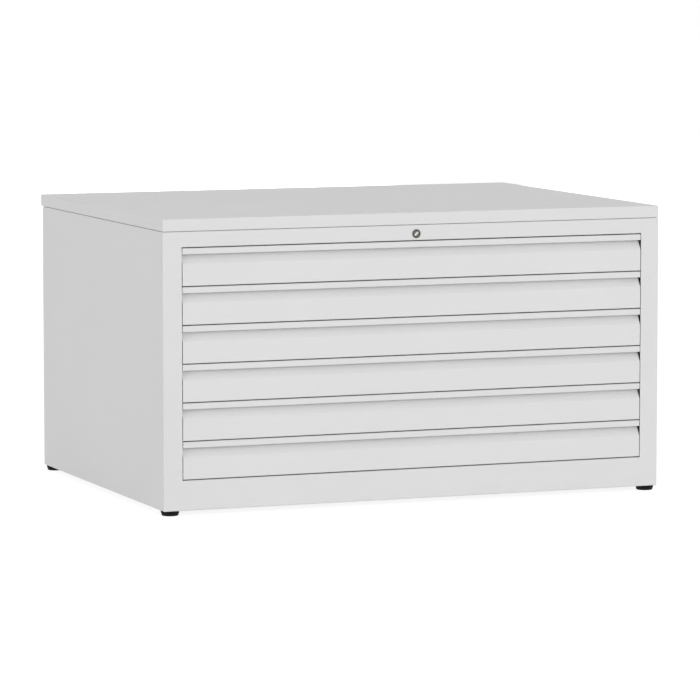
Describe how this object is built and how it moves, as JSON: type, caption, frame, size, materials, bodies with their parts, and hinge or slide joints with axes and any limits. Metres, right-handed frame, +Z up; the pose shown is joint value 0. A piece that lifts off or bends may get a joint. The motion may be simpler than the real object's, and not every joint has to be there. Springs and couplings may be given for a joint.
{
  "type": "plan chest",
  "caption": "Low wide cabinet of folded sheet steel with shallow full-width drawers for flat papers, each with a finger pull along its top, and one central lock.",
  "frame": {"origin": "on the floor below the centre of the chest's overall box", "axes": "+X to the chest's right, -Y out of the drawers, +Z up"},
  "size_m": [1.1, 0.813, 0.602],
  "materials": {
    "casing_paint": "light grey powder coat, satin",
    "drawer_paint": "light grey powder coat, satin",
    "zinc_plated_steel": "bright zinc plating",
    "fastener_steel": "zinc plated steel",
    "lock_nickel": "satin nickel plating",
    "foot_plastic": "moulded plastic, matte",
    "guide_plastic": "natural nylon, matte"
  },
  "bodies": {
    "casing": {"left_side_panel": "casing_paint", "right_side_panel": "casing_paint", "top_rail": "casing_paint", "bottom_rail": "casing_paint", "base_panel": "casing_paint", "back_panel": "casing_paint", "top_cover": "casing_paint", "cover_screws": "fastener_steel", "cover_nuts": "fastener_steel", "left_uprights": "zinc_plated_steel", "right_uprights": "zinc_plated_steel", "fixed_slide_members": "zinc_plated_steel", "slide_screws": "fastener_steel", "foot_brackets": "zinc_plated_steel", "foot_pads": "foot_plastic", "foot_studs": "fastener_steel", "lock_barrel": "lock_nickel", "lock_nut": "fastener_steel", "rod_bracket": "zinc_plated_steel", "bar_guides": "guide_plastic"},
    "drawer_1": {"drawer_1_front": "drawer_paint", "drawer_1_tray": "drawer_paint", "drawer_1_rear_hood": "drawer_paint", "drawer_1_catch": "zinc_plated_steel", "drawer_1_inner_members": "zinc_plated_steel"},
    "drawer_1_middle": {"drawer_1_middle_members": "zinc_plated_steel"},
    "drawer_2": {"drawer_2_front": "drawer_paint", "drawer_2_tray": "drawer_paint", "drawer_2_rear_hood": "drawer_paint", "drawer_2_catch": "zinc_plated_steel", "drawer_2_inner_members": "zinc_plated_steel"},
    "drawer_2_middle": {"drawer_2_middle_members": "zinc_plated_steel"},
    "drawer_3": {"drawer_3_front": "drawer_paint", "drawer_3_tray": "drawer_paint", "drawer_3_rear_hood": "drawer_paint", "drawer_3_catch": "zinc_plated_steel", "drawer_3_inner_members": "zinc_plated_steel"},
    "drawer_3_middle": {"drawer_3_middle_members": "zinc_plated_steel"},
    "drawer_4": {"drawer_4_front": "drawer_paint", "drawer_4_tray": "drawer_paint", "drawer_4_rear_hood": "drawer_paint", "drawer_4_catch": "zinc_plated_steel", "drawer_4_inner_members": "zinc_plated_steel"},
    "drawer_4_middle": {"drawer_4_middle_members": "zinc_plated_steel"},
    "drawer_5": {"drawer_5_front": "drawer_paint", "drawer_5_tray": "drawer_paint", "drawer_5_rear_hood": "drawer_paint", "drawer_5_catch": "zinc_plated_steel", "drawer_5_inner_members": "zinc_plated_steel"},
    "drawer_5_middle": {"drawer_5_middle_members": "zinc_plated_steel"},
    "drawer_6": {"drawer_6_front": "drawer_paint", "drawer_6_tray": "drawer_paint", "drawer_6_rear_hood": "drawer_paint", "drawer_6_catch": "zinc_plated_steel", "drawer_6_inner_members": "zinc_plated_steel"},
    "drawer_6_middle": {"drawer_6_middle_members": "zinc_plated_steel"},
    "lock_cylinder": {"lock_plug": "lock_nickel", "lock_rod": "zinc_plated_steel", "lock_crank": "zinc_plated_steel"},
    "lock_bar": {"lock_bar": "zinc_plated_steel"}
  },
  "joints": [
    {"name": "drawer_1_slide", "type": "slide", "parent": "casing", "child": "drawer_1", "axis": [0, -1, 0], "range_m": [0, 0.65]},
    {"name": "drawer_1_middle_slide", "type": "slide", "parent": "casing", "child": "drawer_1_middle", "axis": [0, -1, 0], "range_m": [0, 0.325]},
    {"name": "drawer_2_slide", "type": "slide", "parent": "casing", "child": "drawer_2", "axis": [0, -1, 0], "range_m": [0, 0.65]},
    {"name": "drawer_2_middle_slide", "type": "slide", "parent": "casing", "child": "drawer_2_middle", "axis": [0, -1, 0], "range_m": [0, 0.325]},
    {"name": "drawer_3_slide", "type": "slide", "parent": "casing", "child": "drawer_3", "axis": [0, -1, 0], "range_m": [0, 0.65]},
    {"name": "drawer_3_middle_slide", "type": "slide", "parent": "casing", "child": "drawer_3_middle", "axis": [0, -1, 0], "range_m": [0, 0.325]},
    {"name": "drawer_4_slide", "type": "slide", "parent": "casing", "child": "drawer_4", "axis": [0, -1, 0], "range_m": [0, 0.65]},
    {"name": "drawer_4_middle_slide", "type": "slide", "parent": "casing", "child": "drawer_4_middle", "axis": [0, -1, 0], "range_m": [0, 0.325]},
    {"name": "drawer_5_slide", "type": "slide", "parent": "casing", "child": "drawer_5", "axis": [0, -1, 0], "range_m": [0, 0.65]},
    {"name": "drawer_5_middle_slide", "type": "slide", "parent": "casing", "child": "drawer_5_middle", "axis": [0, -1, 0], "range_m": [0, 0.325]},
    {"name": "drawer_6_slide", "type": "slide", "parent": "casing", "child": "drawer_6", "axis": [0, -1, 0], "range_m": [0, 0.65]},
    {"name": "drawer_6_middle_slide", "type": "slide", "parent": "casing", "child": "drawer_6_middle", "axis": [0, -1, 0], "range_m": [0, 0.325]},
    {"name": "lock_turn", "type": "hinge", "parent": "casing", "child": "lock_cylinder", "pos_m": [0, -0.4055, 0.558], "axis": [0, 1, 0], "range_deg": [0, 90]},
    {"name": "lock_bar_lift", "type": "slide", "parent": "casing", "child": "lock_bar", "axis": [0, 0, 1], "range_m": [0, 0.01273]}
  ],
  "couplings": [
    {"joint": "drawer_1_middle_slide", "follows": "drawer_1_slide", "ratio": 0.5},
    {"joint": "drawer_2_middle_slide", "follows": "drawer_2_slide", "ratio": 0.5},
    {"joint": "drawer_3_middle_slide", "follows": "drawer_3_slide", "ratio": 0.5},
    {"joint": "drawer_4_middle_slide", "follows": "drawer_4_slide", "ratio": 0.5},
    {"joint": "drawer_5_middle_slide", "follows": "drawer_5_slide", "ratio": 0.5},
    {"joint": "drawer_6_middle_slide", "follows": "drawer_6_slide", "ratio": 0.5},
    {"joint": "lock_turn", "follows": "lock_bar_lift", "rad_per_m": 123.41}
  ]
}
